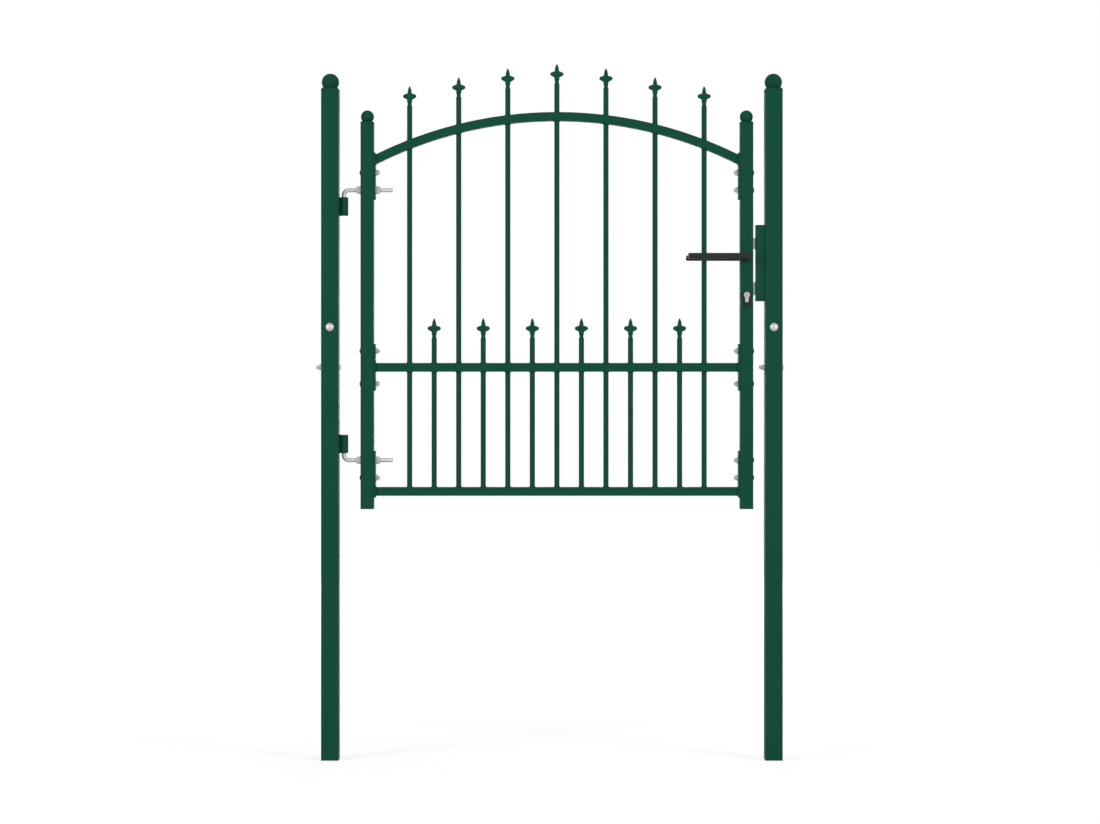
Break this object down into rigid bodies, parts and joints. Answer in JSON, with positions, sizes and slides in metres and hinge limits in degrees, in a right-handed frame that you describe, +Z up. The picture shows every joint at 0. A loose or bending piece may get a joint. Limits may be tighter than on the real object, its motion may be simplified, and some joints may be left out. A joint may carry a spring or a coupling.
{
  "type": "spiked fence gate",
  "caption": "Steel garden gate with an arched, spear-topped picket leaf that swings on bent-rod hinges between square ball-capped posts, with a lever lock.",
  "frame": {"origin": "centre of the hinge post's foot", "axes": "+X from the hinge post to the lock post, +Y away from the viewer, +Z up the posts"},
  "size_m": [1.0744, 0.104, 1.597],
  "materials": {
    "green_powder_coat": "semi-gloss powder coat",
    "moulded_cap": "moulded, satin",
    "zinc_plated_steel": "bright zinc plate",
    "black_handle": "black paint on a die casting",
    "nickel_plated_brass": "satin nickel plate"
  },
  "bodies": {
    "posts": {"hinge_post": "green_powder_coat", "lock_post": "green_powder_coat", "hinge_post_cap": "moulded_cap", "lock_post_cap": "moulded_cap", "upper_hinge_barrel": "green_powder_coat", "lower_hinge_barrel": "green_powder_coat", "strike_box": "green_powder_coat", "fence_bolts": "zinc_plated_steel", "fence_nuts": "zinc_plated_steel"},
    "leaf": {"hinge_stile": "green_powder_coat", "lock_stile": "green_powder_coat", "hinge_stile_cap": "moulded_cap", "lock_stile_cap": "moulded_cap", "arch_rail": "green_powder_coat", "middle_rail": "green_powder_coat", "bottom_rail": "green_powder_coat", "tall_picket_1": "green_powder_coat", "tall_picket_2": "green_powder_coat", "tall_picket_3": "green_powder_coat", "tall_picket_4": "green_powder_coat", "tall_picket_5": "green_powder_coat", "tall_picket_6": "green_powder_coat", "tall_picket_7": "green_powder_coat", "short_picket_1": "green_powder_coat", "short_picket_2": "green_powder_coat", "short_picket_3": "green_powder_coat", "short_picket_4": "green_powder_coat", "short_picket_5": "green_powder_coat", "short_picket_6": "green_powder_coat", "tall_spikes": "green_powder_coat", "short_spikes": "green_powder_coat", "upper_end_plates": "green_powder_coat", "middle_end_plates": "green_powder_coat", "lower_end_plates": "green_powder_coat", "upper_hinge_rod": "zinc_plated_steel", "lower_hinge_rod": "zinc_plated_steel", "hinge_nuts": "zinc_plated_steel", "hinge_washers": "zinc_plated_steel", "lock_case": "zinc_plated_steel", "lock_faceplate": "zinc_plated_steel", "key_cylinder": "nickel_plated_brass", "handle_rosettes": "black_handle", "key_rosettes": "black_handle"},
    "handle": {"front_lever": "black_handle", "rear_lever": "black_handle", "spindle": "zinc_plated_steel"},
    "latch": {"latch_bolt": "zinc_plated_steel"},
    "lock_bolt": {"dead_bolt": "zinc_plated_steel"}
  },
  "joints": [
    {"name": "leaf_swing", "type": "hinge", "parent": "posts", "child": "leaf", "pos_m": [0.031, 0, 1], "axis": [0, 0, 1], "range_deg": [-90, 90]},
    {"name": "handle_turn", "type": "hinge", "parent": "leaf", "child": "handle", "pos_m": [0.955, 0, 1.1541], "axis": [0, 1, 0], "range_deg": [-40, 0], "stiffness_Nm_per_rad": 1.5, "springref_deg": 22.92},
    {"name": "latch_slide", "type": "slide", "parent": "leaf", "child": "latch", "axis": [1, 0, 0], "range_m": [0, 0.012]},
    {"name": "dead_bolt_slide", "type": "slide", "parent": "leaf", "child": "lock_bolt", "axis": [1, 0, 0], "range_m": [0, 0.014]}
  ]
}
